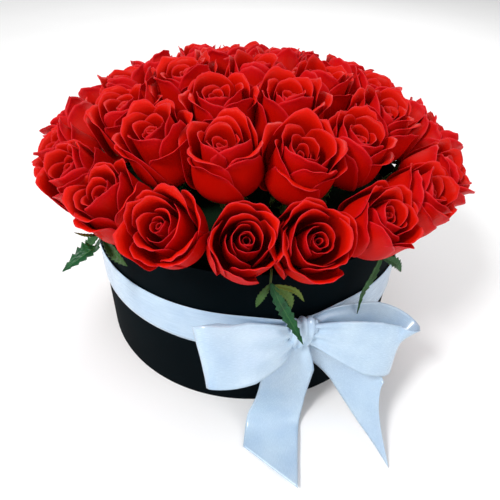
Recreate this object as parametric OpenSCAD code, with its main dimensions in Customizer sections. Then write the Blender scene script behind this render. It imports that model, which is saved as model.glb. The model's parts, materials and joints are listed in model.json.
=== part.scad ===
// Round flower box: a rigid paperboard tube with a satin ribbon and bow,
// holding a lift-out liner with floral foam and a dome of cut roses.
// Origin: centre of the underside. +Z up, the bow is on the -Y side.

/* [Box] */
// Outer diameter of the box, over its cover paper
box_d = 250; // [240:1:270]
// Height of the rigid tube's rim
box_h = 126; // [110:1:128]
// Thickness of the paperboard tube
board_t = 2.5; // [1.5:0.1:3]
// Thickness of the cover paper
paper_t = 0.4; // [0.3:0.1:0.6]
// How far the cover paper is turned in over the rim
turn_in = 14; // [8:1:20]

/* [Ribbon] */
// Width of the band round the box
band_w = 32; // [25:1:40]
// Height of the middle of the band
band_z = 76; // [60:1:90]
// Width of the ribbon that the bow is tied from
bow_w = 38; // [30:1:40]
// Thickness of the satin
satin_t = 0.6; // [0.4:0.1:1]
// Direction of the bow, seen from above
bow_az = -74; // [-90:1:-60]
// Length of the left loop
loop_l = 60; // [50:1:68]
// Length of the right loop
loop_r = 66; // [56:1:74]

/* [Liner and foam] */
// Wall of the waterproof liner
liner_t = 0.8; // [0.5:0.1:1.2]
// Height of the liner's rim
liner_h = 96; // [80:1:100]
// Height of the foam at its edge
foam_edge = 100; // [98:1:104]
// Height of the foam's domed middle
foam_top = 140; // [130:1:142]

/* [Roses] */
// Widest diameter of a bloom in the outer ring
bloom_d = 42; // [38:0.5:42.2]
// How much wider the blooms of the inner rings are open
open_more = 2; // [0:0.5:2]
// Diameter of a stem
stem_d = 4.4; // [3.5:0.1:4.6]
// Distance from a bloom's middle to its stem's cut end, inner rings
stem_l = 95; // [88:1:96]
// The same in the outer ring
rim_stem_l = 93; // [80:1:95]
// How far the dome's centre stands behind the box's axis
dome_y = 5; // [0:1:8]
// Running clearance round each stem in the foam
stem_gap = 0.05; // [0.02:0.01:0.1]

/* [Hidden] */
$fn = 96;
box_r = box_d / 2;
tube_r = box_r - paper_t - satin_t - 0.1;   // outside of the board
bore_r = tube_r - board_t;                  // inside of the board
skin_r = tube_r + 0.05 + paper_t;           // outside of the cover paper
base_t = 2.5;                               // thickness of the base disc
glue = 0.05;                                // glue line between glued layers
lift_gap = 0.4;                             // between the liner and the base
liner_r = bore_r - paper_t - 0.6;           // outside of the liner
foam_r = liner_r - liner_t - 1.5;
bow_gap = 0.3;                              // between the band and the bow
knot_size = [13, 20, 26];                   // depth, width and height of the knot
knot_z = band_z + 4;                        // height of the knot's middle
loop_fat = 24;                              // how far a loop swells out from the box
loop_at = [15, 11, 3];                      // where a loop starts: out, sideways, up
tail_drop = 62;                             // height at which a tail comes out of the knot
tail_knee = 20;                             // height at which a tail starts to bend outwards
petiole_t = 1.4;                            // thickness of a sprig's stalk
bloom_up = 21;                              // from a bloom's middle to its top
bloom_down = 27;                            // and to its calyx
calyx_r = 4.5;
bloom_gap = 0.02;                           // between a stem and its bloom, two solids

// Rings of blooms, from the middle out:
// [count, radius, height, tilt from upright, direction of the first, diameter, stem]
RINGS = [
    [1, 0, 195, 0, 0, bloom_d + open_more, stem_l],
    [6, 46, 192, 10, -58, bloom_d + open_more, stem_l],
    [13, 92, 181, 22, -100, bloom_d + open_more / 2, stem_l],
    [20, 136, 155, 42, -92, bloom_d, rim_stem_l]
];
BLOOMS = [for (g = RINGS) for (i = [0 : g[0] - 1])
    [g[1], g[2], g[3], g[4] + 360 / g[0] * i, g[5], g[6]]];

function two_digits(n) = str(n < 10 ? "0" : "", n);
function rose_name(i) = str("rose_", two_digits(i + 1));

black = [0.03, 0.05, 0.06];
satin = [0.90, 0.94, 0.97];
leaf_green = [0.12, 0.25, 0.08];

// A ring-shaped wall between two radii and two heights
module ring(r_in, r_out, z0, z1) {
    rotate_extrude()
        translate([r_in, z0]) square([r_out - r_in, z1 - z0]);
}

// Turns the radial direction at an angle to +X, at the box's axis
module facing(az) { rotate([0, 0, az]) children(); }

// ---- the box ----

module box_wall() {
    color(black) ring(bore_r, tube_r, paper_t + glue, box_h);
}

module box_base() {
    color(black) translate([0, 0, paper_t + glue]) cylinder(r = bore_r - glue, h = base_t);
}

// The paper runs up the outside, over the rim and down the inside
module cover_paper() {
    color([0.04, 0.07, 0.08]) {
        z_low = box_h + glue - turn_in;
        z_top = box_h + glue;
        rotate_extrude()
            polygon([
                [skin_r - paper_t, 0], [skin_r, 0], [skin_r, z_top + paper_t],
                [bore_r - glue - paper_t, z_top + paper_t], [bore_r - glue - paper_t, z_low],
                [bore_r - glue, z_low], [bore_r - glue, z_top], [skin_r - paper_t, z_top]
            ]);
    }
}

module base_paper() {
    color(black) cylinder(r = skin_r - paper_t - glue, h = paper_t);
}

// ---- the ribbon ----

module ribbon_band() {
    color(satin) ring(skin_r + glue, skin_r + glue + satin_t, band_z - band_w / 2, band_z + band_w / 2);
}

// Places a bow piece: +X runs outwards from the box, +Y to the right round it
module at_bow() {
    facing(bow_az) translate([skin_r + glue + satin_t + bow_gap, 0, 0]) children();
}

module bow_knot() {
    color(satin) at_bow() translate([knot_size[0] / 2, 0, knot_z])
        scale(knot_size / 2) sphere(r = 1, $fn = 48);
}

// A loop is a strip that leaves the knot, swells out and comes back to it.
// Its outline is a teardrop: along the loop, and out from the box.
function drop(len, fat, t) = [len * (1 - cos(t)) / 2, fat * sin(t) * (1 - cos(t)) / 2.6];
module loop_outline(len, fat) {
    polygon([for (t = [0 : 10 : 350]) drop(len, fat, t)]);
}

module bow_loop(len, side, rise, lean) {
    at_bow() translate([loop_at[0], side * loop_at[1], band_z + loop_at[2]])
        rotate([side * rise, lean, 0]) translate([0, 0, -bow_w / 2])
        linear_extrude(height = bow_w)
        rotate(side > 0 ? 90 : -90) difference() {
            loop_outline(len, loop_fat);
            translate([4 * satin_t, 0])
                loop_outline(len - 5 * satin_t, loop_fat - 2.5 * satin_t);
        }
}

module bow_loop_left() { color(satin) bow_loop(loop_l, -1, 8, -36); }
module bow_loop_right() { color(satin) bow_loop(loop_r, 1, -16, -26); }

// A strip of even thickness along a list of points [out, up]
function perp(a, b) = [a[1] - b[1], b[0] - a[0]] / norm(b - a);
function side_of(p, i) =
    let (n = len(p) - 1, a = p[max(i - 1, 0)], b = p[min(i + 1, n)]) perp(a, b);
module strip(p, t) {
    polygon(concat(
        [for (i = [0 : len(p) - 1]) p[i] + side_of(p, i) * t / 2],
        [for (i = [len(p) - 1 : -1 : 0]) p[i] - side_of(p, i) * t / 2]
    ));
}

// A tail falls from under the knot, meets the table and runs out along it.
// Its points are [out from the box, up].
function tail_path(run) =
    let (start = 5, knee = 14, table = 0.8)
    concat(
        [for (t = [0 : 15 : 90])
            [start + (knee - start) * sin(t), tail_knee + (tail_drop - tail_knee) * cos(t)]],
        [for (t = [15 : 15 : 90])
            [knee + 19 * (1 - cos(t)), tail_knee - (tail_knee - table) * sin(t)]],
        [[run, table]]
    );

module bow_tail(turn, shift, run) {
    at_bow() translate([0, shift, 0]) rotate([0, 0, turn])
        translate([0, bow_w / 2, 0]) rotate([90, 0, 0])
        linear_extrude(height = bow_w) strip(tail_path(run), satin_t);
}

module bow_tail_left() { color(satin) bow_tail(-6, -20, 60); }
module bow_tail_right() { color(satin) bow_tail(20, 34, 69); }

// ---- liner, foam and leaves ----

liner_z = paper_t + glue + base_t + lift_gap;

module liner() {
    color([0.2, 0.22, 0.22]) rotate_extrude()
        polygon([[0, liner_z], [liner_r, liner_z], [liner_r, liner_h], [liner_r - liner_t, liner_h],
            [liner_r - liner_t, liner_z + liner_t], [0, liner_z + liner_t]]);
}

// The foam is a drum with a domed top, cut by a hole for every stem
module foam() {
    z0 = liner_z + liner_t + glue;
    color([0.16, 0.32, 0.16]) difference() {
        rotate_extrude()
            polygon(concat([[0, z0], [foam_r, z0], [foam_r, foam_edge]],
                [for (t = [6 : 6 : 84]) [foam_r * cos(t), foam_edge + (foam_top - foam_edge) * sin(t)]],
                [[0, foam_top]]));
        for (b = BLOOMS) at_bloom(b) translate([0, 0, -b[5] - 0.5])
            cylinder(d = stem_d + 2 * stem_gap, h = b[5]);
    }
}

// A leaf sprig leaves the foam, crosses the rim and hangs down outside.
// Its points are [distance from the box's axis, height].
module leaf_sprig(az, hang, wide) {
    facing(az) {
        stalk = [[105, 120.4], [109, 125], [115, 129], [122, 130.4], [128, 129], [131, 124]];
        blade = [[131.4, 123.6], [132.5, 118], [133.5, 112], [135, 106 - hang]];
        translate([0, 1, 0]) rotate([90, 0, 0]) linear_extrude(height = 2) strip(stalk, petiole_t);
        translate([0, wide / 2, 0]) rotate([90, 0, 0]) linear_extrude(height = wide)
            strip(blade, petiole_t / 2);
    }
}

module leaf_sprig_front() { color(leaf_green) leaf_sprig(-83, 0, 14); }
module leaf_sprig_left() { color(leaf_green) leaf_sprig(-139, 8, 18); }
module leaf_sprig_right() { color(leaf_green) leaf_sprig(-47, 4, 12); }

// ---- roses ----

// Moves to a bloom's middle, with +Z along its stem's line and away from the box
module at_bloom(b) {
    translate([0, dome_y, 0]) rotate([0, 0, b[3]]) translate([b[0], 0, b[1]]) rotate([0, b[2], 0])
        children();
}

// A bloom is egg-shaped, narrow where the calyx holds it
module bloom(d) {
    r = d / 2;
    rotate_extrude()
        polygon(concat([[0, -bloom_down], [calyx_r, -bloom_down]],
            [for (t = [-48 : 12 : 60]) [r * cos(t), 23 * sin(t)]],
            [[0, bloom_up]]));
}

module stem(l) {
    translate([0, 0, -l]) cylinder(d = stem_d, h = l - bloom_down - bloom_gap);
}

module rose(b) {
    at_bloom(b) {
        color([0.80, 0.03, 0.04]) bloom(b[4]);
        color([0.16, 0.30, 0.10]) stem(b[5]);
    }
}

box_wall();
box_base();
cover_paper();
base_paper();
ribbon_band();
bow_knot();
bow_loop_left();
bow_loop_right();
bow_tail_left();
bow_tail_right();
liner();
foam();
leaf_sprig_front();
leaf_sprig_left();
leaf_sprig_right();
for (i = [0 : len(BLOOMS) - 1])
    rose(BLOOMS[i]);
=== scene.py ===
import json
import math
import bpy
import numpy as np
from mathutils import Matrix, Vector


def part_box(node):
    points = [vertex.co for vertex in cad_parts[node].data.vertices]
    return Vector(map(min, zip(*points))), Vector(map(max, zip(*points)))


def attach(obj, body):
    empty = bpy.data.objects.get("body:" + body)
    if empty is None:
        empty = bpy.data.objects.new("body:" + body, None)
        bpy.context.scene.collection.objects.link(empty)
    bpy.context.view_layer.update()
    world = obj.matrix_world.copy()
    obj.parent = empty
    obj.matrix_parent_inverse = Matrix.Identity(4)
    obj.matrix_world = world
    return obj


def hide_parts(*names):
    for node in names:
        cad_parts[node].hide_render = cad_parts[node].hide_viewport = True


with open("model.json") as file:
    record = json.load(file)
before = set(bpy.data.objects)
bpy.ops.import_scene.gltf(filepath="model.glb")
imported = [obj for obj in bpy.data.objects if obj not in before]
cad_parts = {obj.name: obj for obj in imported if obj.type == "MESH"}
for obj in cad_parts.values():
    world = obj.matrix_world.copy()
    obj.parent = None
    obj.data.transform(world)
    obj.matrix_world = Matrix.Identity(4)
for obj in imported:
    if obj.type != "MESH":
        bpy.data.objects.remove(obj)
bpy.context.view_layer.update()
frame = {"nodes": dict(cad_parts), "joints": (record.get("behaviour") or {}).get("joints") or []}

MM = 0.001
scene = bpy.context.scene
scene.view_settings.view_transform = "Standard"


# ---- places, read from the frame ----

def radius_of(node):
    """Outer radius of a round node that stands on the box's axis."""
    low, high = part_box(node)
    return (high.x - low.x) / 2


BAND_LOW, BAND_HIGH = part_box("ribbon_band")
BAND_R = radius_of("ribbon_band")
BAND_Z = (BAND_LOW.z + BAND_HIGH.z) / 2
KNOT_LOW, KNOT_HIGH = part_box("bow_knot")
KNOT = (KNOT_LOW + KNOT_HIGH) / 2
BOW_AZ = math.atan2(KNOT.y, KNOT.x)


# ---- mesh helpers ----

def new_object(name, verts, faces, uvs, materials, slots):
    """A smooth-shaded mesh object. faces is a list of arrays, each of quads or of triangles."""
    mesh = bpy.data.meshes.new(name)
    mesh.vertices.add(len(verts))
    mesh.vertices.foreach_set("co", np.asarray(verts, np.float32).ravel())
    corners = np.concatenate([f.ravel() for f in faces]).astype(np.int32)
    sides = np.concatenate([np.full(len(f), f.shape[1]) for f in faces])
    mesh.loops.add(len(corners))
    mesh.loops.foreach_set("vertex_index", corners)
    mesh.polygons.add(len(sides))
    mesh.polygons.foreach_set("loop_start", (np.cumsum(sides) - sides).astype(np.int32))
    mesh.polygons.foreach_set("use_smooth", [True] * len(sides))
    for m in materials:
        mesh.materials.append(m)
    mesh.polygons.foreach_set("material_index", np.asarray(slots, np.int32))
    layer = mesh.uv_layers.new(name="UVMap")
    layer.data.foreach_set("uv", np.asarray(uvs, np.float32)[corners].ravel())
    mesh.update(calc_edges=True)
    mesh.validate()
    obj = bpy.data.objects.new(name, mesh)
    scene.collection.objects.link(obj)
    return obj


def bezier(p, t):
    """A cubic Bezier curve with the four control values in p."""
    a, b, c, d = p
    s = 1 - t
    return s**3 * a + 3 * s * s * t * b + 3 * s * t * t * c + t**3 * d


def smooth_path(points, count):
    """A smooth line through given points, as a Catmull-Rom spline with count samples."""
    p = np.asarray(points, float)
    p = np.concatenate([[2 * p[0] - p[1]], p, [2 * p[-1] - p[-2]]])
    t = np.linspace(0, len(p) - 3 - 1e-9, count)
    i = t.astype(int)
    f = (t - i)[:, None]
    a, b, c, d = p[i], p[i + 1], p[i + 2], p[i + 3]
    return 0.5 * (2 * b + (c - a) * f + (2 * a - 5 * b + 4 * c - d) * f**2 + (3 * b - a - 3 * c + d) * f**3)


def grid_normals(points, wrap=False):
    """Unit normals of a grid of points, shape (rows, columns, 3)."""
    if wrap:
        along = np.roll(points, -1, 0) - np.roll(points, 1, 0)
    else:
        along = np.gradient(points, axis=0)
    across = np.gradient(points, axis=1)
    normal = np.cross(along, across)
    length = np.linalg.norm(normal, axis=2, keepdims=True)
    return normal / np.maximum(length, 1e-12)


def sheet_shell(points, thick, wrap=False):
    """Closes a grid of points into a thin shell: vertices, faces, uvs and which faces are on its back."""
    rows, cols = points.shape[:2]
    normal = grid_normals(points, wrap)
    thick = np.broadcast_to(np.asarray(thick, float), (rows, cols))[..., None]
    front = points + normal * thick / 2
    back = points - normal * thick / 2
    verts = np.concatenate([front.reshape(-1, 3), back.reshape(-1, 3)])
    count = rows * cols
    index = np.arange(count).reshape(rows, cols)
    if wrap:
        index = np.concatenate([index, index[:1]])
    a, b = index[:-1, :-1], index[1:, :-1]
    c, d = index[1:, 1:], index[:-1, 1:]
    face_front = np.stack([a, b, c, d], -1).reshape(-1, 4)
    face_back = np.stack([a, d, c, b], -1).reshape(-1, 4) + count
    rims = []
    edges = [(index[:-1, 0], index[1:, 0], True), (index[:-1, -1], index[1:, -1], False)]
    if not wrap:
        edges += [(index[0, :-1], index[0, 1:], False), (index[-1, :-1], index[-1, 1:], True)]
    for p, q, flip in edges:
        quad = [q, p, p + count, q + count] if flip else [p, q, q + count, p + count]
        rims.append(np.stack(quad, -1))
    faces = np.concatenate([face_front, face_back] + rims)
    u, v = np.meshgrid(np.linspace(0, 1, rows), np.linspace(0, 1, cols), indexing="ij")
    uv = np.stack([u.ravel(), v.ravel()], -1)
    is_back = np.zeros(len(faces), int)
    is_back[len(face_front):len(face_front) + len(face_back)] = 1
    return verts, faces, np.concatenate([uv, uv]), is_back


class Soup:
    """Gathers closed shells into one mesh, each with a value of its own for tone and painted shade."""

    def __init__(self):
        self.verts, self.faces, self.uvs, self.slots, self.tones_and_shades = [], [], [], [], []
        self.count = 0

    def add(self, verts, faces, uvs, slots, tone_and_shade):
        self.verts.append(verts)
        self.faces += [f + self.count for f in faces]
        self.uvs.append(uvs)
        self.slots.append(slots)
        self.tones_and_shades.append(np.full(len(verts), tone_and_shade))
        self.count += len(verts)

    def add_sheet(self, points, thick, slot=0, back_slot=None, tone_and_shade=0.0, wrap=False):
        verts, faces, uvs, is_back = sheet_shell(points, thick, wrap)
        back_slot = slot if back_slot is None else back_slot
        self.add(verts, [faces], uvs, np.where(is_back == 1, back_slot, slot), tone_and_shade)

    def add_tube(self, path, radii, slot, sides=12):
        """A closed tube along a list of points, with a radius at each."""
        path = np.asarray(path, float)
        heading = np.gradient(path, axis=0)
        heading /= np.linalg.norm(heading, axis=1, keepdims=True)
        seed = np.array([1.0, 0, 0]) if abs(heading[0][0]) < 0.8 else np.array([0, 1.0, 0])
        a = np.linspace(0, 2 * math.pi, sides, endpoint=False)[:, None]
        rings = []
        for p, h, r in zip(path, heading, radii):
            e1 = np.cross(h, seed)
            e1 /= np.linalg.norm(e1)
            rings.append(p + r * (np.cos(a) * e1 + np.sin(a) * np.cross(h, e1)))
        n = len(path)
        verts = np.concatenate(rings + [path[:1], path[-1:]])
        i, j = np.meshgrid(np.arange(n - 1), np.arange(sides), indexing="ij")
        k = (j + 1) % sides
        quads = np.stack([i * sides + j, i * sides + k, (i + 1) * sides + k, (i + 1) * sides + j], -1)
        j, k, last = np.arange(sides), (np.arange(sides) + 1) % sides, (n - 1) * sides
        first_cap = np.stack([np.full(sides, n * sides), k, j], -1)
        last_cap = np.stack([np.full(sides, n * sides + 1), last + j, last + k], -1)
        around = np.tile(np.linspace(0, 1, sides), n)
        along = np.repeat(np.linspace(0, 1, n), sides)
        uvs = np.concatenate([np.stack([around, along], -1), [[0.5, 0.0], [0.5, 1.0]]])
        faces = [quads.reshape(-1, 4), first_cap, last_cap]
        self.add(verts, faces, uvs, np.full(sum(len(f) for f in faces), slot), 0.0)

    def build(self, name, materials, matrix=None):
        verts = np.concatenate(self.verts)
        if matrix is not None:
            m = np.array(matrix)
            verts = verts @ m[:3, :3].T + m[:3, 3]
        uvs, slots = np.concatenate(self.uvs), np.concatenate(self.slots)
        obj = new_object(name, verts, self.faces, uvs, materials, slots)
        tone_and_shade = obj.data.attributes.new("tone_and_shade", "FLOAT", "POINT")
        tone_and_shade.data.foreach_set("value", np.concatenate(self.tones_and_shades).astype(np.float32))
        return obj


# ---- materials ----

LEAF_VEINS = 58.0       # how far the side veins' wave turns along a leaf, in radians
SATIN_THREADS = 420.0   # the same for the threads' wave across a ribbon
INSIDE, OUTSIDE = 0, 1  # material slots of petals
GREEN, WOODY = 0, 1     # material slots of leaves and stems


class Shader:
    """A Principled material with short calls for the nodes that this scene uses."""

    def __init__(self, name, **sockets):
        self.material = bpy.data.materials.new(name)
        self.material.use_nodes = True
        self.nodes = self.material.node_tree.nodes
        self.links = self.material.node_tree.links
        self.bsdf = self.nodes["Principled BSDF"]
        for key, value in sockets.items():
            self.bsdf.inputs[key.replace("_", " ")].default_value = value

    def node(self, kind, **settings):
        n = self.nodes.new(kind)
        for key, value in settings.items():
            setattr(n, key, value)
        return n

    def link(self, a, b):
        self.links.new(a, b)

    def coords(self, kind, scale=(1, 1, 1)):
        source = self.node("ShaderNodeTexCoord")
        mapping = self.node("ShaderNodeMapping")
        mapping.inputs["Scale"].default_value = scale
        self.link(source.outputs[kind], mapping.inputs["Vector"])
        return mapping.outputs["Vector"]

    def noise(self, vector, scale, detail=4, roughness=0.55):
        n = self.node("ShaderNodeTexNoise")
        n.inputs["Scale"].default_value = scale
        n.inputs["Detail"].default_value = detail
        n.inputs["Roughness"].default_value = roughness
        self.link(vector, n.inputs["Vector"])
        return n.outputs["Fac"]

    def ramp(self, fac, stops):
        n = self.node("ShaderNodeValToRGB")
        elements = n.color_ramp.elements
        while len(elements) < len(stops):
            elements.new(0.5)
        for element, (pos, color) in zip(elements, stops):
            element.position = pos
            element.color = (*color, 1)
        self.link(fac, n.inputs["Fac"])
        return n.outputs["Color"]

    def mix(self, fac, a, b):
        n = self.node("ShaderNodeMix", data_type="RGBA", blend_type="MIX")
        for socket, value in ((n.inputs["Factor"], fac), (n.inputs[6], a), (n.inputs[7], b)):
            if isinstance(value, bpy.types.NodeSocket):
                self.link(value, socket)
            else:
                socket.default_value = value if isinstance(value, float) else (*value, 1)
        return n.outputs[2]

    def math(self, operation, a, b=0.0):
        n = self.node("ShaderNodeMath", operation=operation)
        for socket, value in zip(n.inputs, (a, b)):
            if isinstance(value, bpy.types.NodeSocket):
                self.link(value, socket)
            else:
                socket.default_value = value
        return n.outputs[0]

    def attribute(self, name):
        return self.node("ShaderNodeAttribute", attribute_name=name).outputs["Fac"]

    def color(self, socket):
        self.link(socket, self.bsdf.inputs["Base Color"])

    def roughness(self, fac, low, high):
        n = self.node("ShaderNodeMapRange")
        n.inputs["To Min"].default_value = low
        n.inputs["To Max"].default_value = high
        self.link(fac, n.inputs["Value"])
        self.link(n.outputs["Result"], self.bsdf.inputs["Roughness"])

    def bump(self, height, distance, strength=1.0):
        n = self.node("ShaderNodeBump")
        n.inputs["Strength"].default_value = strength
        n.inputs["Distance"].default_value = distance
        self.link(height, n.inputs["Height"])
        previous = self.bsdf.inputs["Normal"].links
        if previous:
            self.link(previous[0].from_socket, n.inputs["Normal"])
        self.link(n.outputs["Normal"], self.bsdf.inputs["Normal"])


def petal_material(name, deep, bright, edge, lip_highlight):
    """A velvety petal: dark with painted shade at its base, bright over its face, with fine veins, a
    painted highlight on its lip and a thin pale edge.

    The petal's width runs along U, and its length, from base to lip, along V.
    """
    s = Shader(name, Roughness=0.46, Specular_IOR_Level=0.10, Sheen_Weight=0.03, Sheen_Roughness=0.35)
    s.bsdf.inputs["Sheen Tint"].default_value = (1.0, 0.06, 0.06, 1)
    s.bsdf.inputs["Subsurface Weight"].default_value = 0.15
    s.bsdf.inputs["Subsurface Radius"].default_value = (1.0, 0.05, 0.01)
    s.bsdf.inputs["Subsurface Scale"].default_value = 1.4 * MM
    split = s.node("ShaderNodeSeparateXYZ")
    s.link(s.coords("UV"), split.inputs["Vector"])
    across = s.math("ABSOLUTE", s.math("SUBTRACT", split.outputs["X"], 0.5))
    veins = s.noise(s.coords("UV", (34, 2.0, 1)), 1.0, 3)
    blotch = s.noise(s.coords("Object"), 110, 3)
    # along the petal: painted shade at the base, deep in the cup, then the bright face, then a painted
    # highlight on the lip, then the thin pale edge
    grown = s.ramp(split.outputs["Y"], [(0.0, deep), (0.45, bright), (0.80, bright), (0.93, lip_highlight),
                                        (0.975, lip_highlight), (0.995, edge)])
    sides = s.ramp(across, [(0.0, (0, 0, 0)), (0.487, (0, 0, 0)), (0.499, (1, 1, 1))])
    edged = s.mix(sides, grown, edge)
    shaded = s.mix(s.math("MULTIPLY", veins, 0.30), edged, tuple(c * 0.62 for c in bright))
    warm = s.mix(s.math("MULTIPLY", blotch, 0.22), shaded, tuple(min(1, c * 1.2) for c in bright))
    # mixing towards the deep colour by the tone attribute gives random tone and painted shade towards the
    # heart
    s.color(s.mix(s.attribute("tone_and_shade"), warm, deep))
    s.roughness(blotch, 0.40, 0.56)
    s.bump(veins, 0.10 * MM, 0.6)
    s.bump(s.noise(s.coords("Object"), 1400, 2), 0.03 * MM, 0.5)
    return s.material


def leaf_material():
    """A rose leaf: dark and a little glossy, with a pale midrib, slanted side veins and an aged tone."""
    s = Shader("rose_leaf", Roughness=0.38, Specular_IOR_Level=0.25, Coat_Weight=0.06, Coat_Roughness=0.3)
    split = s.node("ShaderNodeSeparateXYZ")
    s.link(s.coords("UV"), split.inputs["Vector"])
    across = s.math("ABSOLUTE", s.math("SUBTRACT", split.outputs["Y"], 0.5))
    slant = s.math("ADD", s.math("MULTIPLY", across, -0.55), split.outputs["X"])
    wave = s.math("SINE", s.math("MULTIPLY", slant, LEAF_VEINS))
    patch = s.noise(s.coords("Object"), 160, 4)
    base = s.ramp(patch, [(0.3, (0.002, 0.036, 0.010)), (0.55, (0.005, 0.080, 0.020)),
                          (0.8, (0.030, 0.120, 0.038))])
    aged = s.mix(s.attribute("tone_and_shade"), base, (0.12, 0.17, 0.020))
    rib = s.ramp(across, [(0.0, (1, 1, 1)), (0.035, (0, 0, 0))])
    s.color(s.mix(s.math("MULTIPLY", rib, 0.6), aged, (0.08, 0.20, 0.05)))
    s.roughness(patch, 0.30, 0.50)
    s.bump(wave, 0.15 * MM, 0.5)
    s.bump(patch, 0.2 * MM, 0.4)
    return s.material


def stem_material():
    """Green bark with streaks along the stem, brown where they are strongest."""
    s = Shader("rose_stem", Roughness=0.5, Specular_IOR_Level=0.35)
    streak = s.noise(s.coords("Object", (1, 1, 0.12)), 420, 4)
    s.color(s.ramp(streak, [(0.3, (0.035, 0.095, 0.020)), (0.62, (0.080, 0.165, 0.040)),
                            (0.8, (0.16, 0.10, 0.05))]))
    s.roughness(streak, 0.40, 0.62)
    s.bump(streak, 0.15 * MM, 0.6)
    return s.material


def satin_material():
    """Woven satin: bright, cool, with a tight weave that stretches its highlights along the ribbon."""
    s = Shader("white_satin", Roughness=0.34, Specular_IOR_Level=1.0, Sheen_Weight=0.35,
               Sheen_Roughness=0.3, Anisotropic=0.45)
    split = s.node("ShaderNodeSeparateXYZ")
    s.link(s.coords("UV"), split.inputs["Vector"])
    threads = s.math("SINE", s.math("MULTIPLY", split.outputs["Y"], SATIN_THREADS))
    cloud = s.noise(s.coords("Object"), 45, 3)
    fine = s.noise(s.coords("UV", (40, 260, 1)), 1.0, 3)
    s.color(s.ramp(cloud, [(0.25, (0.37, 0.52, 0.70)), (0.75, (0.50, 0.65, 0.78))]))
    s.roughness(fine, 0.20, 0.34)
    s.bump(threads, 0.012 * MM, 0.35)
    s.bump(fine, 0.04 * MM, 0.35)
    return s.material


def paper_material():
    """Matte black paper with a faint fibre."""
    s = Shader("black_paper", Roughness=0.7, Specular_IOR_Level=0.02)
    fibre = s.noise(s.coords("Object", (1, 1, 2.5)), 900, 5, 0.7)
    cloud = s.noise(s.coords("Object"), 18, 3)
    base = s.ramp(cloud, [(0.3, (0.0006, 0.0022, 0.0034)), (0.75, (0.0014, 0.0040, 0.0056))])
    s.color(s.mix(s.math("MULTIPLY", fibre, 0.25), base, (0.003, 0.007, 0.009)))
    s.roughness(fibre, 0.62, 0.80)
    s.bump(fibre, 0.06 * MM, 0.5)
    return s.material


def board_material():
    """Unprinted grey board with long fibres."""
    s = Shader("grey_board", Roughness=0.85, Specular_IOR_Level=0.2)
    fibre = s.noise(s.coords("Object", (1, 1, 3)), 600, 6, 0.7)
    s.color(s.ramp(fibre, [(0.3, (0.20, 0.175, 0.14)), (0.7, (0.36, 0.32, 0.26))]))
    s.roughness(fibre, 0.75, 0.95)
    s.bump(fibre, 0.12 * MM, 0.6)
    return s.material


def foam_material():
    """Soaked floral foam: a fine open cell, darker where it is wet; its very dark green is partly the
    soaked colour and partly painted shade from the roses over it.
    """
    s = Shader("floral_foam", Roughness=0.9, Specular_IOR_Level=0.04)
    where = s.coords("Object")
    cells = s.node("ShaderNodeTexVoronoi")
    cells.inputs["Scale"].default_value = 900
    s.link(where, cells.inputs["Vector"])
    damp = s.noise(where, 30, 4)
    # both greens are darker than soaked foam alone: painted shade from the roses over the foam
    s.color(s.ramp(damp, [(0.3, (0.003, 0.011, 0.005)), (0.7, (0.007, 0.022, 0.009))]))
    s.roughness(damp, 0.65, 0.95)
    s.bump(cells.outputs["Distance"], 0.5 * MM, 0.7)
    return s.material


def liner_material():
    """Thin dark plastic, slightly rippled."""
    s = Shader("liner_film", Roughness=0.22, Specular_IOR_Level=0.5)
    ripple = s.noise(s.coords("Object", (1, 1, 0.3)), 60, 3)
    s.color(s.ramp(ripple, [(0.3, (0.030, 0.036, 0.036)), (0.7, (0.055, 0.064, 0.062))]))
    s.roughness(ripple, 0.15, 0.35)
    s.bump(ripple, 0.6 * MM, 0.5)
    return s.material


# colours of each side: the base with painted shade, the face, the thin edge, and the lip with painted
# highlight
PETAL_IN = petal_material("petal_inside", (0.12, 0.0002, 0.0003), (0.62, 0.0054, 0.0002),
                          (0.72, 0.026, 0.034), (0.68, 0.0068, 0.0006))
PETAL_OUT = petal_material("petal_outside", (0.26, 0.0006, 0.0008), (0.60, 0.0042, 0.0004),
                           (0.72, 0.026, 0.042), (0.66, 0.0060, 0.0110))
LEAF = leaf_material()
STEM = stem_material()
SATIN = satin_material()
PAPER = paper_material()
BOARD = board_material()
FOAM = foam_material()
LINER = liner_material()


# ---- roses ----

# One entry for each whorl of petals, from the heart out, in millimetres and degrees:
# count, widest radius, lip height, lip radius over widest, half width, rolled length, roll
WHORLS = [
    (2, 2.5, 9.0, 0.80, 155, 0.6, 20),
    (3, 5.2, 10.8, 0.88, 108, 1.4, 45),
    (3, 9.0, 13.2, 0.98, 86, 3.2, 62),
    (3, 13.4, 14.8, 1.05, 78, 5.4, 78),
    (4, 17.4, 12.0, 1.08, 60, 7.2, 90),
    (4, 20.4, 5.5, 1.08, 56, 8.6, 92),
]
BASE_Z = -23.0             # where petals leave the calyx
BASE_R = 2.6               # radius of the petals' foot
ACROSS, ALONG = 17, 16     # points across a petal and along it
CALYX_LOW, CALYX_HIGH = -31.0, -20.5
STEM_TOP = -29.0           # where the stem goes into the calyx
STEM_R = 2.2 * MM
STEM_RINGS = 14
BLOOM_UP = 21 * MM         # from a CAD bloom's middle to its top
BLOOM_DRAWN = 50 * MM      # width of the petals as drawn here, at size 1
PETALS_OVER = 1.16         # the petals' width over the CAD bloom's
OPENNESS = [0.6, 0.85, 1.0, 1.12]
NOD = 9                    # most degrees that a head leans from its stem
SEPAL_T = 0.35 * MM
LEAF_T = 0.3 * MM
FIRST_SEED = 100           # each rose has random numbers of its own


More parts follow.
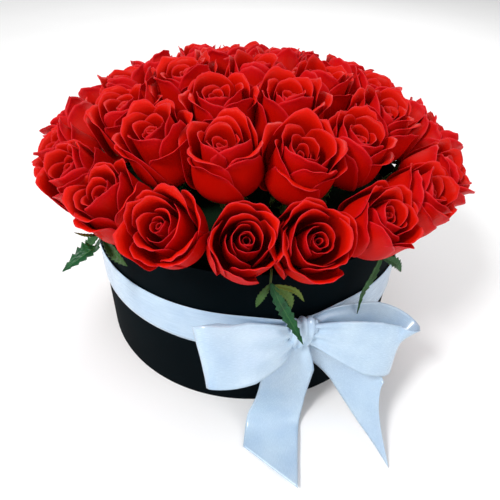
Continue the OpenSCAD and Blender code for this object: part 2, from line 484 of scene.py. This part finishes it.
def petal_points(rng, whorl, azimuth, open_by, drift):
    """Grid of points on one petal, in millimetres, with the bloom's axis along Z."""
    _, widest, lip_z, lip_in, half, roll_len, roll = whorl
    outer = min(1.0, widest / 18)
    uneven = 0.20 - 0.14 * outer
    widest = widest * (0.90 + 0.10 * open_by) * rng.uniform(1 - uneven, 1 + uneven)
    lip_z += rng.uniform(-2.6, 2.0)
    half = half * rng.uniform(0.84, 1.10)
    lip_in = lip_in + 0.06 * (open_by - 1) + rng.uniform(-0.03, 0.04)
    roll = math.radians(roll) * open_by * rng.uniform(0.35, 1.30)
    u = np.linspace(-1, 1, ACROSS)[:, None]
    v = np.linspace(0, 1, ALONG)[None, :] ** 0.85
    tip = 1 - (0.04 + 0.15 * outer) * np.abs(u) ** 2.6 + 0.03 * outer * np.exp(-((u / 0.14) ** 2))
    t = v * tip
    cup_len = 1.15 * (lip_z - BASE_Z)
    turn = cup_len / (cup_len + roll_len)
    tc = np.clip(t / turn, 0, 1)
    lip_r = widest * lip_in
    knee = 0.5 * (lip_z - BASE_Z)
    rho = bezier((BASE_R, widest * 1.30, widest * 1.10, lip_r), tc)
    z = bezier((BASE_Z, BASE_Z + 1.0, lip_z - knee, lip_z), tc)
    start = math.atan2(lip_r - widest * 1.10, knee)
    # the middle rolls a little, the shoulders more, so that the lip comes to a soft point
    bend = roll * (0.62 + 0.62 * np.abs(u) ** 1.5)
    share = np.clip((t - turn) / (1 - turn), 0, 1.2)
    heading = start + bend * share
    curl = roll_len / np.maximum(bend, 0.05)
    rho = rho + np.where(share > 0, curl * (np.cos(start) - np.cos(heading)), 0)
    z = z + np.where(share > 0, curl * (np.sin(heading) - np.sin(start)), 0)
    # sides ease outwards, one edge lies under the neighbour and the other over it
    side = np.maximum(np.abs(u) - 0.6, 0) ** 1.5
    rho = rho + side * t**3 * 2.6 * outer + 0.10 * widest * u * np.minimum(t * 2, 1)
    z = z - side * t**3 * 2.0 * outer
    phase = rng.uniform(0, 6.28, 4)
    ripple = 0.70 * np.sin(4.2 * u + phase[0]) + 0.38 * np.sin(10 * u + phase[3]) * t**4
    rho = rho + outer * t**2 * ripple
    wave = 1.0 * np.sin(3.2 * u + phase[1]) + 0.35 * np.sin(9 * u + phase[2]) * t**3
    z = z + outer * t**3 * wave
    width = 1 - 0.26 * outer * tc**4
    angle = azimuth + math.radians(half) * width * u + 0.05 * np.sin(5 * t + phase[2])
    # a whorl's outer petals are flatter across than the circle that they stand on
    flat = 1 - 0.06 * outer * np.cos(angle - azimuth) * t
    # the heart stands off the bloom's axis, and the outer petals don't
    shift = t**2 * (1.1 - outer)
    x = rho * flat * np.cos(angle) + drift[0] * shift
    y = rho * flat * np.sin(angle) + drift[1] * shift
    return np.stack([x, y, z + 0 * u], -1)


def petal_thickness():
    """Thickness over a petal's grid, in millimetres: it thins towards the sides and the lip."""
    u = np.linspace(-1, 1, ACROSS)[:, None]
    v = np.linspace(0, 1, ALONG)[None, :]
    return 0.40 - 0.20 * np.maximum(np.abs(u) ** 4, v**5)


def neck(rng, size, most):
    """Matrix that leans a head about its calyx in some direction, by up to most degrees."""
    a = rng.uniform(0, 2 * math.pi)
    turn = Matrix.Rotation(math.radians(rng.uniform(0.2, 1.0) * most), 4, (math.cos(a), math.sin(a), 0))
    foot = Matrix.Translation((0, 0, BASE_Z * MM * size))
    return np.array(foot @ turn @ foot.inverted())


def add_bloom(soup, rng, size, open_by, nod):
    """All petals of a rose, each whorl turned against the one inside it. A petal's back is its inside."""
    azimuth = rng.uniform(0, 2 * math.pi)
    thick = petal_thickness() * MM * size
    drift = rng.uniform(-3.4, 3.4, 2)
    for i, whorl in enumerate(WHORLS):
        count = whorl[0]
        for k in range(count):
            jitter = rng.uniform(-0.28, 0.28)
            points = petal_points(rng, whorl, azimuth + 2 * math.pi * k / count + jitter, open_by, drift)
            # each petal's tone is partly random tone and partly painted shade, darker whorl by whorl
            # towards the heart
            tone_and_shade = 0.12 * rng.uniform(0, 1) + 0.03 * (len(WHORLS) - 1 - i)
            points = points * MM * size @ nod[:3, :3].T + nod[:3, 3]
            soup.add_sheet(points, thick, OUTSIDE, INSIDE, tone_and_shade)
        azimuth += math.pi / count + 0.35


def leaf_points(spine, normal_hint, widest, teeth=9, fold=0.25, rows=46, cols=9, saw_depth=0.22):
    """Grid of points on a leaf: spine is its midrib, from stalk to tip, and its sides are saw-edged."""
    spine = np.asarray(spine, float)
    t = np.linspace(0, 1, rows)
    mid = smooth_path(spine, rows)
    heading = np.gradient(mid, axis=0)
    heading /= np.linalg.norm(heading, axis=1, keepdims=True)
    side = np.cross(heading, np.asarray(normal_hint, float))
    side /= np.linalg.norm(side, axis=1, keepdims=True)
    normal = np.cross(side, heading)
    saw = 1 - saw_depth * ((t * teeth) % 1) * (t > 0.12) * (t < 0.97)
    half = widest / 2 * np.sin(math.pi * t**0.8) ** 0.85 * saw + 0.02 * widest * (1 - t)
    w = np.linspace(-1, 1, cols)
    lift = fold * np.abs(w)[None, :] - 0.10 * np.cos(w[None, :] * 3.1)
    across = w[None, :, None] * side[:, None] + lift[..., None] * normal[:, None]
    return mid[:, None] + half[:, None, None] * across


def add_sepals(soup, rng, size):
    """Five narrow sepals that leave the calyx; some lie on the petals and some bend back to the stem."""
    start = rng.uniform(0, 6.28)
    for k in range(5):
        a = start + k * 2 * math.pi / 5 + rng.uniform(-0.2, 0.2)
        back = rng.uniform(0.1, 1.2)
        out = np.array([math.cos(a), math.sin(a), 0])
        up = np.array([0, 0, 1.0])
        side = np.cross(up, out) * rng.uniform(-3, 3)
        spine = [3.0 * out - 23.5 * up, 7 * out - (24 + 1.5 * back) * up,
                 (12.5 - 1.5 * back) * out - (24 + 7 * back) * up,
                 (15.5 - 4 * back) * out - (20 + 18 * back) * up + side]
        points = leaf_points(spine, up, 4.6, teeth=5, fold=0.25, rows=21, cols=5)
        soup.add_sheet(points * MM * size, SEPAL_T, GREEN, tone_and_shade=rng.uniform(0.1, 0.7))


def add_calyx(soup, size):
    """The green cup that swells out of the stem and holds the petals."""
    z = np.linspace(CALYX_LOW, CALYX_HIGH, 9)
    share = (z - CALYX_LOW) / (CALYX_HIGH - CALYX_LOW)
    radii = STEM_R / MM + 3.0 * np.sin(share * math.pi * 0.62) ** 1.3
    soup.add_tube([(0, 0, q * MM * size) for q in z], radii * MM * size, WOODY)


def add_stem(soup, rng, length, size):
    """A stem that sways a little off its line, with two thorns near its top."""
    top, bottom = STEM_TOP * size, -length
    z = np.linspace(top, bottom, STEM_RINGS)
    sway = np.clip(np.sin(np.linspace(0, math.pi, STEM_RINGS)), 0, 1)
    soup.add_tube([(0.25 * MM * s, 0, q * MM) for q, s in zip(z, sway)],
                  [STEM_R * (0.86 + 0.12 * s) for s in sway], WOODY)
    for k in range(2):
        at = top + (bottom - top) * rng.uniform(0.08, 0.35)
        a = rng.uniform(0, 6.28)
        out = np.array([math.cos(a), math.sin(a), 0.0])
        base = np.array([0, 0, at])
        spine = [base + out * 1.5, base + out * 3.2 - [0, 0, 0.3], base + out * 4.8 - [0, 0, 1.4]]
        soup.add_tube(np.array(spine) * MM, [1.1 * MM, 0.6 * MM, 0.08 * MM], WOODY, 8)


def add_rose_leaves(soup, rng, size):
    """Leaves that stay on the stem under the bloom and fill the gaps between the heads."""
    for k in range(rng.integers(1, 4)):
        a = rng.uniform(0, 2 * math.pi)
        out = np.array([math.cos(a), math.sin(a), 0])
        side = np.cross([0, 0, 1.0], out) * rng.uniform(-6, 6)
        at = np.array([0, 0, CALYX_LOW - rng.uniform(0, 8)])
        reach = rng.uniform(0.85, 1.1)
        spine = [at + out * 2,
                 at + out * 8 * reach + [0, 0, 3],
                 at + out * 15 * reach + side / 2 + [0, 0, 10],
                 at + out * 21 * reach + side + [0, 0, 21]]
        points = leaf_points(spine, (0, 0, 1), 13 * reach, teeth=8, fold=0.22, rows=25, cols=7)
        soup.add_sheet(points * MM * size, LEAF_T, GREEN)


def rose_place(node, axis):
    """Matrix to a bloom's middle, with +Z along its stem, and the stem's length in millimetres."""
    count = len(node.data.vertices)
    co = np.zeros(count * 3)
    node.data.vertices.foreach_get("co", co)
    co = co.reshape(-1, 3)
    along = co @ axis
    end = co[along < along.min() + 0.05 * MM].mean(0)
    length = along.max() - along.min() - BLOOM_UP
    frame_z = Vector(axis)
    hint = Vector((0, 0, 1)) if abs(axis[2]) < 0.99 else Vector((0, 1, 0))
    frame_x = hint.cross(frame_z).normalized()
    frame_y = frame_z.cross(frame_x)
    turn = Matrix((frame_x, frame_y, frame_z)).transposed().to_4x4()
    return Matrix.Translation(Vector(end + axis * length)) @ turn, length / MM


def across_of(node, axis):
    """Widest distance of a node's points from its own line along axis, doubled."""
    co = np.array([v.co for v in node.data.vertices])
    flat = co - np.outer(co @ axis, axis)
    return 2 * np.linalg.norm(flat - (flat.min(0) + flat.max(0)) / 2, axis=1).max()


def make_rose(name, axis, seed):
    """One rose in place of its CAD solid: its petals in one piece, and its green parts in another."""
    rng = np.random.default_rng(seed)
    node = frame["nodes"][name]
    place, length = rose_place(node, axis)
    size = across_of(node, axis) / BLOOM_DRAWN * PETALS_OVER * rng.uniform(0.96, 1.04)
    open_by = rng.choice(OPENNESS)
    petals = Soup()
    add_bloom(petals, rng, size, open_by, neck(rng, size, NOD))
    bloom = petals.build(name + "_petals", [PETAL_IN, PETAL_OUT], place)
    green = Soup()
    add_sepals(green, rng, size)
    add_rose_leaves(green, rng, size)
    add_calyx(green, size)
    add_stem(green, rng, length, size)
    stem = green.build(name + "_stem", [LEAF, STEM], place)
    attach(bloom, name)
    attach(stem, name)
    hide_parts(name)


ROSE_PULLS = [j for j in frame["joints"] if j["name"].startswith("rose_")]
for number, pull in enumerate(ROSE_PULLS):
    make_rose(pull["child"], np.array(pull["axis"], float), FIRST_SEED + number)


# ---- ribbon ----

BOW_W = 38 * MM            # width of the ribbon that the bow is tied from
SATIN_T = 0.35 * MM
ROWS, RIBBON_COLS = 61, 21     # points along a ribbon and across it
PLEAT = 1.9 * MM           # depth of the pleats where a ribbon leaves the knot
DROP = -KNOT.z / MM + 0.8  # height of the table below the knot, and a little air


def bow_frame():
    """Matrix to the knot: +X out from the box, +Y to the right round it, +Z up."""
    return Matrix.Translation(KNOT) @ Matrix.Rotation(BOW_AZ, 4, "Z")


def make_band():
    """The band lies on the paper; beside the knot it is drawn together in creases."""
    rows, cols = 240, 15
    drawn = 22 * MM     # how far from the knot the creases reach
    a = np.linspace(0, 2 * math.pi, rows, endpoint=False)[:, None]
    w = np.linspace(-1, 1, cols)[None, :]
    near = np.exp(-((np.angle(np.exp(1j * (a - BOW_AZ))) * BAND_R / drawn) ** 2))
    half = (BAND_HIGH.z - BAND_LOW.z) / 2
    z = BAND_Z + half * w * (1 - 0.42 * near) + 0.5 * MM * np.sin(3 * a) + 2.5 * MM * near
    crease = 1.1 * MM * near * (1 + np.cos(7.5 * w))
    r = BAND_R + 0.35 * MM + crease + 0.12 * MM * (1 + np.sin(5 * a + 2 * w))
    points = np.stack([r * np.cos(a), r * np.sin(a), z], -1)
    soup = Soup()
    soup.add_sheet(points, SATIN_T, wrap=True)
    band = soup.build("satin_band", [SATIN])
    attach(band, "box")
    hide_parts("ribbon_band")


def ribbon_grid(line, widths, lean, pleat):
    """A ribbon along a line of points. Each point has a width, a way across and a depth of pleats."""
    line = np.asarray(line, float)
    heading = np.gradient(line, axis=0)
    heading /= np.linalg.norm(heading, axis=1, keepdims=True)
    side = np.asarray(lean, float)
    side = side - (side * heading).sum(1, keepdims=True) * heading
    side /= np.linalg.norm(side, axis=1, keepdims=True)
    normal = np.cross(heading, side)
    w = np.linspace(-1, 1, RIBBON_COLS)
    fold = np.cos(w * 2.5 * math.pi)[None, :] * np.asarray(pleat)[:, None]
    across = np.asarray(widths)[:, None, None] / 2 * w[None, :, None] * side[:, None]
    return line[:, None] + across + fold[..., None] * normal[:, None]


def finish_ribbon(name, node, points, wrap=False):
    """Makes a ribbon from its grid of points."""
    soup = Soup()
    soup.add_sheet(points, SATIN_T, wrap=wrap)
    piece = soup.build(name, [SATIN], bow_frame())
    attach(piece, "box")
    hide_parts(node)


def make_loop(name, node, side, stations, leans):
    """A loop goes out from the knot along its outer strand, folds over and comes back behind.

    Stations are [out from the knot, along the box, up], in millimetres, and side is 1 for the right
    and -1 for the left. Leans are the ways across the ribbon, spread evenly along it.
    """
    line = smooth_path(np.array(stations) * MM * [1, side, 1], ROWS)
    s = np.linspace(0, 1, ROWS)
    gather = np.minimum(1, 0.36 + 1.75 * np.minimum(s, 1 - s) ** 0.8)
    lean = smooth_path(np.array(leans, float) * [1, side, 1], ROWS)
    pleat = PLEAT * np.exp(-np.minimum(s, 1 - s) / 0.11)
    points = ribbon_grid(line, BOW_W * gather, lean, pleat)
    finish_ribbon(name, node, points)


make_loop("satin_loop_left", "bow_loop_left", -1,
          [(3, 5, 0), (9, 16, 2), (13, 32, 5), (15, 50, 7), (12, 65, 8),
           (4, 66, -1), (-1, 48, -6), (-3, 27, -5), (-1, 8, -1)],
          [(-0.30, 0.0, 1), (-0.50, 0.02, 1), (-0.72, 0.05, 1), (-0.86, 0.10, 1), (-0.90, 0.15, 1),
           (-0.85, 0.15, 1), (-0.60, 0.10, 1), (-0.35, 0.05, 1), (-0.20, 0.0, 1)])
make_loop("satin_loop_right", "bow_loop_right", 1,
          [(3, 5, 1), (9, 20, -1), (13, 37, -7), (16, 54, -14), (14, 68, -20),
           (6, 72, -19), (1, 60, -11), (-1, 40, -4), (-2, 21, 0), (-1, 8, 0)],
          [(-0.25, -0.05, 1), (-0.35, 0.02, 1), (-0.45, 0.20, 1), (-0.48, 0.38, 1), (-0.46, 0.52, 1),
           (-0.46, 0.52, 1), (-0.46, 0.36, 1), (-0.40, 0.16, 1), (-0.30, 0.05, 1), (-0.20, 0.0, 1)])


def make_tail(name, node, stations, leans, cut):
    """A tail leaves the knot gathered, falls to the table and ends in a slanted cut.

    Stations and leans are as in make_loop. cut is half the slant over the tail's length, and its
    sign says which edge is cut shorter.
    """
    line = smooth_path(np.array(stations) * MM, ROWS)
    s = np.linspace(0, 1, ROWS)
    gather = np.minimum(1, 0.34 + 2.6 * s)
    lean = smooth_path(leans, ROWS)
    pleat = PLEAT * np.exp(-s / 0.12)
    points = ribbon_grid(line, BOW_W * gather, lean, pleat)
    # each lengthwise line stops at its own share of the tail
    w = np.linspace(-1, 1, RIBBON_COLS)
    stop = 1 - np.maximum(0, cut * w + abs(cut))
    grown = np.empty_like(points)
    for j in range(RIBBON_COLS):
        t = s * stop[j]
        for k in range(3):
            grown[:, j, k] = np.interp(t, s, points[:, j, k])
    finish_ribbon(name, node, grown)


make_tail("satin_tail_left", "bow_tail_left",
          [(0, -1, -5), (4, -5, -20), (7, -9, -42), (9, -13, -62), (16, -19, DROP + 4),
           (34, -26, DROP + 1.5), (57, -34, DROP + 1.5)],
          [(0.1, 1, 0.15), (0.05, 1, 0.1), (0, 1, 0), (0.05, 1, 0), (0.15, 1, 0.05), (0.25, 1, 0.08),
           (0.3, 1, 0.08)],
          -0.09)
make_tail("satin_tail_right", "bow_tail_right",
          [(-2, 3, -5), (2, 14, -14), (6, 28, -27), (11, 40, -41), (17, 46, -52), (29, 50, -58),
           (44, 53, DROP + 19), (64, 55, DROP + 18.5)],
          [(0.3, 0.6, 0.8), (0.4, 0.6, 0.8), (0.45, 0.6, 0.8), (0.4, 0.6, 0.9), (0.25, 0.55, 0.95),
           (0.1, 0.45, 1), (0, 0.35, 1), (0, 0.3, 1)],
          0.2)


def make_knot():
    """The knot is a short turn of ribbon, pulled into pleats."""
    rows = 48
    a = np.linspace(0, 2 * math.pi, rows, endpoint=False)
    w = np.linspace(-1, 1, RIBBON_COLS)
    pleat = 1.0 * MM * np.cos(w * 3.5 * math.pi)[None, :]
    bulge = (1 - 0.22 * w**2)[None, :]
    deep, high, wide, slant = 6.6 * MM, 12.5 * MM, 9.5 * MM, 1.6 * MM     # half sizes
    out = (deep * np.cos(a)[:, None]) * bulge + pleat * np.cos(a)[:, None]
    up = (high * np.sin(a)[:, None]) * bulge + pleat * np.sin(a)[:, None]
    along = wide * w[None, :] + 0 * out + slant * np.sin(a)[:, None]
    points = np.stack([out, along, up], -1)
    finish_ribbon("satin_knot", "bow_knot", points, wrap=True)


make_band()
make_knot()


# ---- leaf sprigs ----

def at(az_deg, r, z):
    """A point at a direction, a distance from the box's axis and a height, in millimetres."""
    a = math.radians(az_deg)
    return np.array([r * math.cos(a), r * math.sin(a), z])


def make_sprig(name, node, stalk, leaves):
    """A stalk with leaves. The stalk and each leaf's spine are lists of (direction, distance, height)."""
    soup = Soup()
    count = 24
    path = smooth_path([at(*p) for p in stalk], count) * MM
    soup.add_tube(path, np.linspace(1.1, 0.6, count) * MM, WOODY, 8)
    for spine, width, age in leaves:
        points = np.array([at(*p) for p in spine])
        out = points.mean(0) * [1, 1, 0]
        hint = out / np.linalg.norm(out) + np.array([0, 0, 0.6])
        leaf = leaf_points(points, hint, width, saw_depth=0.42)
        soup.add_sheet(leaf * MM, LEAF_T, GREEN, tone_and_shade=age)
    sprig = soup.build(name, [LEAF, STEM])
    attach(sprig, "arrangement")
    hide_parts(node)


make_sprig("sprig_front", "leaf_sprig_front",
           [(-83, 104, 117), (-83, 114, 129), (-83.5, 126, 131), (-84, 133, 127)],
           [([(-84, 133, 128), (-82, 137, 118), (-80, 138, 108), (-77.5, 141, 96), (-75.5, 147, 86)],
             9, 0.0),
            ([(-84, 133, 127), (-86.5, 137, 120), (-87.5, 138, 113)], 5, 0.3),
            ([(-83, 134, 126), (-79.5, 137, 120), (-78.5, 138, 110)], 6, 0.5),
            ([(-83, 134, 127), (-78, 137, 124), (-75.5, 139, 116)], 4, 0.9)])
make_sprig("sprig_left", "leaf_sprig_left",
           [(-139, 104, 117), (-139, 114, 129), (-138, 126, 132), (-135, 134, 131)],
           [([(-134, 135, 131), (-130, 144, 134), (-130, 154, 132), (-132, 167, 123)], 15, 0.0),
            ([(-133, 135, 131), (-127, 138, 128), (-122, 139, 124)], 9, 0.25),
            ([(-136, 134, 130), (-138, 141, 120), (-139, 145, 108)], 9, 0.1),
            ([(-134, 135, 132), (-131, 148, 142), (-129, 158, 152)], 2.2, 1.0)])
make_sprig("sprig_right", "leaf_sprig_right",
           [(-47, 104, 117), (-47, 114, 129), (-48, 126, 131), (-50, 133, 127)],
           [([(-50, 133, 128), (-54, 136, 118), (-56, 135, 104), (-56, 135, 84)], 6, 0.15),
            ([(-50, 133, 127), (-46, 139, 120), (-44, 142, 112)], 8, 0.1)])


# ---- CAD pieces that keep their shape ----

FINISHES = {"box_wall": BOARD, "box_base": BOARD, "cover_paper": PAPER, "base_paper": PAPER,
            "liner": LINER, "foam": FOAM}
for node_name, finish in FINISHES.items():
    finished = frame["nodes"][node_name].data.materials
    finished.clear()
    finished.append(finish)


# ---- floor, light and camera ----

def make_floor():
    """A wide pale floor, a hair under the box so that the two don't flicker."""
    bpy.ops.mesh.primitive_plane_add(size=6, location=(0, 0, -0.0003))
    floor = bpy.context.object
    floor.name = "floor"
    s = Shader("pale_floor", Roughness=0.7, Specular_IOR_Level=0.2)
    cloud = s.noise(s.coords("Object"), 3, 2)
    s.color(s.ramp(cloud, [(0.3, (0.93, 0.93, 0.93)), (0.7, (0.96, 0.96, 0.96))]))
    floor.data.materials.append(s.material)


def make_light(name, place, aim, size, power):
    """A round white lamp, size metres across, that points at aim."""
    lamp = bpy.data.lights.new(name, "AREA")
    lamp.shape = "DISK"
    lamp.size = size
    lamp.energy = power
    obj = bpy.data.objects.new(name, lamp)
    obj.location = place
    obj.rotation_euler = (Vector(aim) - Vector(place)).to_track_quat("-Z", "Y").to_euler()
    scene.collection.objects.link(obj)


def make_world(strength):
    """Even white light from all round."""
    world = bpy.data.worlds.new("studio")
    world.use_nodes = True
    background = world.node_tree.nodes["Background"]
    background.inputs["Color"].default_value = (1, 1, 1, 1)
    background.inputs["Strength"].default_value = strength
    scene.world = world


def make_camera():
    """The view is from the front, 38 degrees down, close enough to show the box in perspective."""
    yaw, pitch, roll = math.radians(0.30), math.radians(38.05), math.radians(2.43)
    ahead = Vector((math.sin(yaw) * math.cos(pitch), math.cos(yaw) * math.cos(pitch), -math.sin(pitch)))
    right = ahead.cross(Vector((0, 0, 1))).normalized()
    up = right.cross(ahead)
    rolled_right = math.cos(roll) * right + math.sin(roll) * up
    rolled_up = -math.sin(roll) * right + math.cos(roll) * up
    camera = bpy.data.cameras.new("camera")
    camera.sensor_width = 36
    camera.lens = 36 * 0.92     # focal length over the width of the frame
    obj = bpy.data.objects.new("camera", camera)
    turn = Matrix((rolled_right, rolled_up, -ahead)).transposed().to_4x4()
    obj.matrix_world = Matrix.Translation((0, -0.3325, 0.3085)) @ turn
    scene.collection.objects.link(obj)
    scene.camera = obj


make_floor()
make_world(0.62)
make_light("key", (-0.7, -0.75, 1.2), (0, 0, 0.1), 0.35, 15)
make_light("fill", (1.1, -0.8, 0.7), (0, 0, 0.1), 0.9, 4)
make_light("back", (0.2, 1.2, 1.1), (0, 0, 0.15), 0.7, 8)
make_camera()
